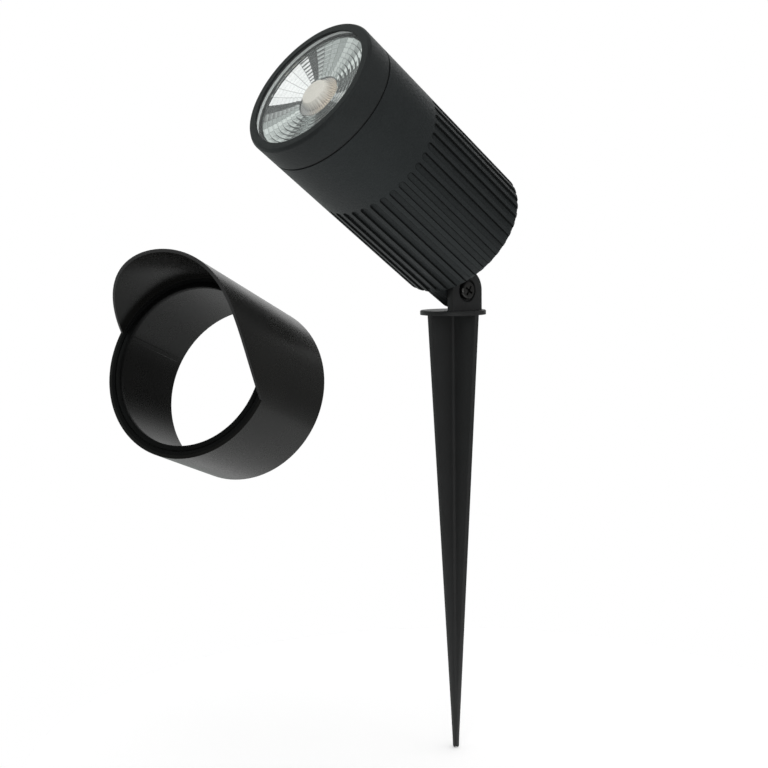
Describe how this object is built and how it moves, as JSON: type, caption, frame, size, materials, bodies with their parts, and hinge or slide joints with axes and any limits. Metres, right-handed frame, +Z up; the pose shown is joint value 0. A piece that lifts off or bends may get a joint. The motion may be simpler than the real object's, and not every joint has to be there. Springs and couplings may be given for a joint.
{
  "type": "garden spike spotlight",
  "caption": "Ground-spike garden spotlight with a finned black cylinder head on one tilting ear, a faceted reflector under flat glass, and a slanted glare shield shown taken off.",
  "frame": {"origin": "centre of the flange's underside, where the flange rests on the ground and the spike begins", "axes": "+Z up, out of the ground; the tilt axis runs along Y at 11 mm up; the head leans towards -X; the ear's screw head faces -Y"},
  "size_m": [0.2089, 0.1035, 0.3264],
  "materials": {
    "spike_moulding": "matte black, lightly textured",
    "body_coat": "fine-textured matte black powder coat",
    "bezel_coat": "satin black powder coat",
    "shield_coat": "satin black powder coat",
    "front_glass": "clear, polished",
    "seal_rubber": "soft black",
    "mirror_coat": "vacuum-metallised moulding, mirror bright",
    "stainless": "plain stainless",
    "dark_screw": "blackened stainless",
    "heat_metal": "bare turned aluminium",
    "heat_pad": "soft grey",
    "board_mask": "white solder mask on a metal core",
    "chip_ceramic": "plain white",
    "phosphor": "yellow silicone",
    "holder_white": "plain white",
    "lens_clear": "clear, fluted side",
    "lead_cover": "smooth",
    "tray_plastic": "plain",
    "circuit_board": "green solder mask",
    "ferrite": "dull dark grey",
    "winding_tape": "yellow tape over enamelled wire",
    "can_sleeve": "shrunk plastic sleeve",
    "terminal_plastic": "plain green",
    "gland_nylon": "black nylon"
  },
  "bodies": {
    "spike": {"ground_spike": "spike_moulding", "friction_washer": "gland_nylon"},
    "head": {"lock_washer": "stainless", "pivot_nut": "stainless", "housing": "body_coat", "bezel_ring": "bezel_coat", "front_glass": "front_glass", "glass_gasket": "seal_rubber", "body_seal": "seal_rubber", "reflector": "mirror_coat", "heat_plate": "heat_metal", "thermal_pad": "heat_pad", "led_board": "board_mask", "led_chip": "chip_ceramic", "led_phosphor": "phosphor", "led_holder": "holder_white", "centre_lens": "lens_clear", "plate_screws": "stainless", "board_screws": "stainless", "led_leads": "lead_cover", "driver_tray": "tray_plastic", "driver_board": "circuit_board", "driver_transformer": "ferrite", "driver_winding": "winding_tape", "driver_capacitors": "can_sleeve", "driver_choke": "ferrite", "driver_terminals": "terminal_plastic", "gland_body": "gland_nylon", "gland_washer": "seal_rubber", "gland_seal": "seal_rubber", "gland_nut": "gland_nylon"},
    "pivot_screw": {"pivot_screw": "dark_screw"},
    "glare_shield": {"glare_shield": "shield_coat"}
  },
  "joints": [
    {"name": "tilt", "type": "hinge", "parent": "spike", "child": "head", "pos_m": [0, 0, 0.011], "axis": [0, 1, 0], "range_deg": [-34, 75]},
    {"name": "screw_turn", "type": "hinge", "parent": "head", "child": "pivot_screw", "pos_m": [0, 0, 0.011], "axis": [0, -1, 0], "range_deg": [0, 360]},
    {"name": "shield_away", "type": "slide", "parent": "spike", "child": "glare_shield", "axis": [-0.8699, -0.3585, 0.3387], "range_m": [0, 0.06]}
  ]
}
